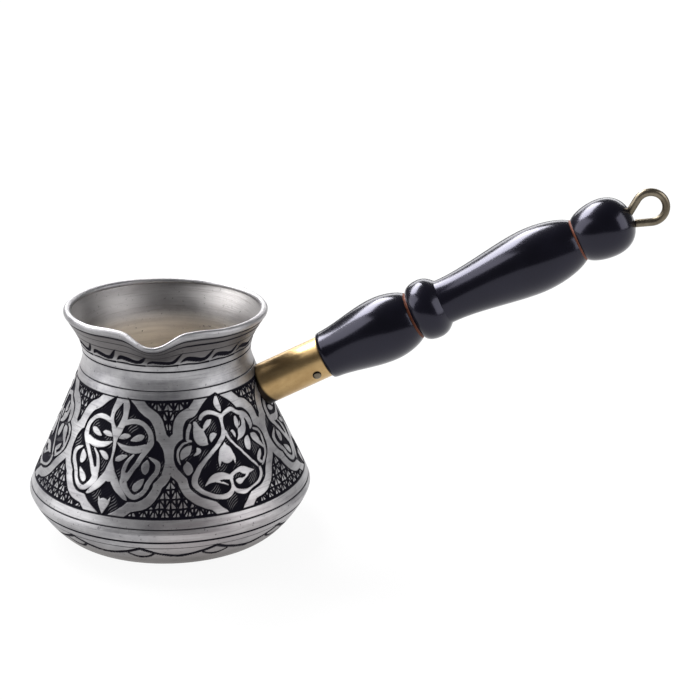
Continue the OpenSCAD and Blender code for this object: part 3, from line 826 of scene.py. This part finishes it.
def tube():
    """A closed skin round and through the tube: out along its outside, over its filed edge, back inside."""
    turn = np.arange(160) * full_turn / 160
    start_out, start_in = meets_wall(turn, ferrule_r), meets_wall(turn, ferrule_bore_r)
    edge = np.linspace(0, math.pi / 2, 6)
    share = np.linspace(0, 1, 80)
    outer = start_out[:, None] + (ferrule_end - filed_r - start_out[:, None]) * share
    inner = start_in[:, None] + (ferrule_end - start_in[:, None]) * share[::-2]
    filed = ferrule_end - filed_r + filed_r * np.sin(edge)[1:]
    along = np.hstack([outer, np.tile(filed, (len(turn), 1)), inner])
    radius = np.concatenate([
        np.full(outer.shape[1], ferrule_r), ferrule_r - filed_r + filed_r * np.cos(edge)[1:],
        np.full(inner.shape[1], ferrule_bore_r),
    ])
    points = placed(handle_axes, along, radius * np.cos(turn)[:, None], radius * np.sin(turn)[:, None]) * mm
    from_wall = np.hstack([outer, np.tile(filed, (len(turn), 1)), inner + 99]) - start_out[:, None]
    faces = strip_faces(len(turn), len(radius), True, True)[:, ::-1].tolist()
    # Painted shadow: the tube goes black near the wall, as in the shadow of the gap there, widest underneath.
    reach = 2.2 + 1.5 * np.cos(turn)[:, None]
    painted_shadow = smooth_step(0, -0.8, from_wall - reach)
    keep(add_piece("brass_ferrule", points, faces, {"painted_shadow": painted_shadow}, brass), "ferrule")


tube()


# ---- Nail --------------------------------------------------------------------------------------
# A small round-headed steel nail holds the tenon in the ferrule. It is driven from the front, a little
# below the middle of the tube.

nail_turn = math.radians(26)
nail_way = math.sin(nail_turn) * downward - math.cos(nail_turn) * backward
nail_root = handle_root + (ferrule_end - 4.1) * outward
nail_axes = nail_root, nail_way, outward, np.cross(nail_way, outward)
nail_head_r, nail_shank_r = 1.45, 0.8
head_edge, head_dome = 0.2, 0.6


def turned(name, axes, along, radius, sides, values, material):
    """A solid that is turned on a set of axes: a profile of distances and radii, 0 at both ends, with values
    down it."""
    turn = np.arange(sides) * full_turn / sides
    body_along, body_r = along[1:-1], radius[1:-1]
    points = placed(axes, np.tile(body_along, (sides, 1)), np.cos(turn)[:, None] * body_r,
                    np.sin(turn)[:, None] * body_r) * mm
    ends = placed(axes, along[[0, -1]], np.zeros(2), np.zeros(2)) * mm
    rows = len(body_along)
    faces = strip_faces(sides, rows, True, False)[:, ::-1].tolist()
    first, last = sides * rows, sides * rows + 1
    i = np.arange(sides)
    after = (i + 1) % sides
    faces += np.stack([i * rows, after * rows, 0 * i + first], -1).tolist()
    faces += np.stack([after * rows + rows - 1, i * rows + rows - 1, 0 * i + last], -1).tolist()
    spread = {
        key: np.concatenate([np.tile(value[1:-1], sides), value[[0, -1]]]) for key, value in values.items()
    }
    return add_piece(name, np.vstack([points.reshape(-1, 3), ends]), faces, spread, material)


def nail_profile():
    """Shank, the underside of the head, and a low dome that is flattened by the hammer."""
    dome = np.linspace(0, math.pi / 2, 10)
    along = [0, 0, ferrule_r / 2, ferrule_r, ferrule_r, ferrule_r + head_edge]
    radius = [0, nail_shank_r, nail_shank_r, nail_shank_r, nail_head_r, nail_head_r]
    along = np.concatenate([along, ferrule_r + head_edge + head_dome * np.sin(dome)[1:]])
    radius = np.concatenate([radius, nail_head_r * np.cos(dome)[1:] ** 0.8])
    radius[-1] = 0
    return along, radius


nail_along, nail_radius = nail_profile()
# Painted shadow: the rim of the head goes black, as in the shadow of the hole round it.
nail_painted_shadow = smooth_step(1.15, 1.4, nail_radius)
nail = turned("nail", nail_axes, nail_along, nail_radius, 40, {"painted_shadow": nail_painted_shadow}, steel)
keep(nail, "ferrule_nail")

# ---- Handle ------------------------------------------------------------------------------------
# Turned from one piece of wood and lacquered black: a bulb, a collar bead, the long grip and an end ball,
# parted by sharp grooves where the turner's knife has left the brown wood bare.

wood_l, tenon_l = 111.5, 16
shoulder_r, tenon_bevel = 8.1, 0.6
front_groove, back_groove, ball_groove = 33.2, 43.8, 92.5
bulb_r, collar_r, grip_r, ball_r = 10.95, 10.2, 10.8, 9.7
forms = [
    [(shoulder_r, 1.4), (8.45, 8), (bulb_r, 15), (bulb_r, 22)],
    [(bulb_r, 22), (bulb_r, 27), (9.3, front_groove - 1.7), (7.7, front_groove - 0.1)],
    [(7.7, front_groove + 0.1), (9.2, front_groove + 0.4), (collar_r, 35.4), (collar_r, 38.3)],
    [(collar_r, 38.3), (collar_r, 41.3), (8.5, back_groove - 1.2), (7.5, back_groove - 0.1)],
    [(7.5, back_groove + 0.1), (7.2, back_groove + 10), (grip_r, 67.5), (grip_r, 76.5)],
    [(grip_r, 76.5), (grip_r, 83), (9.2, ball_groove - 3), (7, ball_groove - 0.1)],
    [(7, ball_groove + 0.1), (8.3, ball_groove + 1.3), (ball_r, 97.5), (ball_r, 101.8)],
    [(ball_r, 101.8), (ball_r, 107.3), (6.5, wood_l), (0, wood_l)],
]

# Each bare line as (place, how far the bare wood reaches before it and behind it).
bare_grooves = [(front_groove, 0.55, 0.1), (ball_groove, 0.35, 0.3)]
lacquer_black, lacquer_worn = (0.0018, 0.0017, 0.0035, 1), (0.004, 0.0037, 0.0075, 1)
wood_dark, wood_light = (0.10, 0.028, 0.012, 1), (0.26, 0.085, 0.035, 1)


def lacquered_wood():
    """Black lacquer over fine-grained wood. The value bare is where the brown wood shows through."""
    material, shader, coords = new_material(
        "lacquered_wood", Specular_IOR_Level=0.38, Specular_Tint=(0.75, 0.73, 1.0, 1), Coat_Roughness=0.1,
    )
    bare = own_value(coords, "bare")
    grain = noise(coords, 150, (16, 1, 1), 4, 0.6, along_handle)
    clouds = noise(coords, 60, (1, 1, 1), 4, 0.6)
    chips = noise(coords, 420, (1, 1, 1), 3, 0.6).between(0.62, 0.7)
    lacquer = clouds.between(0.3, 0.7).mix(lacquer_black, lacquer_worn)
    wood = grain.mix(wood_dark, wood_light)
    shown = (bare.between(0.35, 0.65) * (1 - 0.5 * chips)).clamped()
    drive(shader, "Base Color", shown.mix(lacquer, wood))
    drive(shader, "Roughness", (0.14 + 0.13 * clouds + 0.4 * shown).clamped())
    drive(shader, "Coat Weight", 0.12 - 0.12 * shown)
    drive(shader, "Normal", bump(coords, grain + 0.6 * clouds, 0.12, 0.0002))
    return material


def turn_handle():
    """Its profile runs from the tenon's end, over the shoulder, through the eight curves to the far pole."""
    start = [(0, -tenon_l), (ferrule_bore_r - tenon_bevel, -tenon_l),
             (ferrule_bore_r, tenon_bevel - tenon_l), (ferrule_bore_r, 0),
             (shoulder_r - 0.7, 0), (shoulder_r - 0.2, 0.35)]
    profile = np.vstack([start] + [bezier(form, 44) for form in forms])
    moved = np.linalg.norm(np.diff(profile, axis=0), axis=1) > 1e-6
    profile = profile[np.append(True, moved)]
    radius, along = profile.T
    bare = np.zeros(len(along))
    for groove, before, behind in bare_grooves:
        spread = np.where(along < groove, before, behind)
        bare = np.maximum(bare, 1 - smooth_step(0.6 * spread, 1.4 * spread, np.abs(along - groove)))
    wood = lacquered_wood()
    piece = turned("turned_handle", handle_axes, along + ferrule_end, radius, 144, {"bare": bare}, wood)
    keep(piece, "wooden_handle")


turn_handle()

# ---- Hanging eye -------------------------------------------------------------------------------
# One steel wire: a shank driven into the end ball, a bend at the mouth of its hole, and a loop whose free
# end rests on the wood.

wire_r, eye_r, bend_r, shank_l = 1.3, 5.0, 3.0, 24.0
point_l, leg_end = 4.0, -0.4
eye_centre, eye_root = 6.4, -2.4
upper_turn = math.asin(eye_r / (eye_centre - eye_root))
lower_turn = math.radians(20.6)


def bend_wire():
    """Rings square to the wire: along the shank, up round the small bend, down round the loop, and in along
    the lower leg to its rounded end."""
    stations = [(eye_root - shank_l, 0, 0, 0.3), (eye_root - shank_l + point_l, 0, 0, wire_r)]
    bend_start = eye_root - bend_r * math.tan(upper_turn / 2)
    for d in np.linspace(0, upper_turn, 8):
        stations.append((bend_start + bend_r * math.sin(d), bend_r - bend_r * math.cos(d), d, wire_r))
    loop_end = -math.pi - lower_turn
    for d in np.linspace(upper_turn, loop_end, 90):
        stations.append((eye_centre - eye_r * math.sin(d), eye_r * math.cos(d), d, wire_r))
    out, up = stations[-1][:2]
    for d in np.linspace(0, math.pi / 2, 7)[:-1]:
        back = leg_end + 0.3 * (1 - math.sin(d))
        lift = (out - back) * math.tan(lower_turn)
        stations.append((back, up + lift, loop_end, wire_r * (0.45 + 0.55 * math.cos(d))))
    out, up, way, r = np.array(stations).T[:, :, None]
    around_wire = np.arange(28) * full_turn / 28
    rise = r * np.cos(around_wire)
    wire_axes = (handle_root + (ferrule_end + wood_l) * outward, outward, downward, backward)
    across, behind = rise * np.cos(way), r * np.sin(around_wire)
    points = placed(wire_axes, out - rise * np.sin(way), -(up + across), behind) * mm
    columns, rows = points.shape[:2]
    faces = strip_faces(columns, rows, False, True).tolist()
    faces.append(list(range(rows)))
    faces.append(list(range((columns - 1) * rows, columns * rows))[::-1])
    keep(add_piece("wire_eye", points, faces, {}, steel), "hanging_eye")


bend_wire()

# ---- Studio ------------------------------------------------------------------------------------
# A white table that glows, and soft boxes left, right and behind in a dim room. The strongest is high behind
# on the left.

floor_half = 3.0
floor_mesh = bpy.data.meshes.new("floor")
floor_mesh.from_pydata(
    [(x * floor_half, y * floor_half, 0) for x, y in [(-1, -1), (1, -1), (1, 1), (-1, 1)]],
    [], [(0, 1, 2, 3)],
)
floor = bpy.data.objects.new("floor", floor_mesh)
bpy.context.scene.collection.objects.link(floor)
floor_material, floor_shader, _ = new_material("floor", Roughness=0.9, Emission_Strength=0.92)
floor_shader.inputs["Base Color"].default_value = (0.04, 0.04, 0.04, 1)
floor_shader.inputs["Emission Color"].default_value = (1, 1, 1, 1)
floor_mesh.materials.append(floor_material)


def soft_box(name, place, towards, size, watts):
    """A rectangular area light that faces a point."""
    light = bpy.data.lights.new(name, "AREA")
    light.shape = "RECTANGLE"
    light.size, light.size_y = size
    light.energy = watts
    made = bpy.data.objects.new(name, light)
    bpy.context.scene.collection.objects.link(made)
    made.location = place
    made.rotation_mode = "QUATERNION"
    made.rotation_quaternion = (Vector(towards) - Vector(place)).to_track_quat("-Z", "Y")


soft_box("left_box", (-1.05, -0.2, 0.6), (0, 0, 0.05), (0.9, 1.0), 9.5)
soft_box("right_box", (1.15, -0.3, 0.6), (0.05, 0, 0.05), (0.9, 1.0), 8)
soft_box("key_box", (-0.53, 0.55, 0.92), (0.1, 0, 0.08), (1.0, 0.45), 25)
soft_box("back_box", (0.1, 1.2, 0.5), (0.08, 0, 0.08), (1.4, 0.4), 6)

world = bpy.data.worlds.new("room")
world.use_nodes = True
world.node_tree.nodes["Background"].inputs["Color"].default_value = (0.13, 0.13, 0.137, 1)
bpy.context.scene.world = world
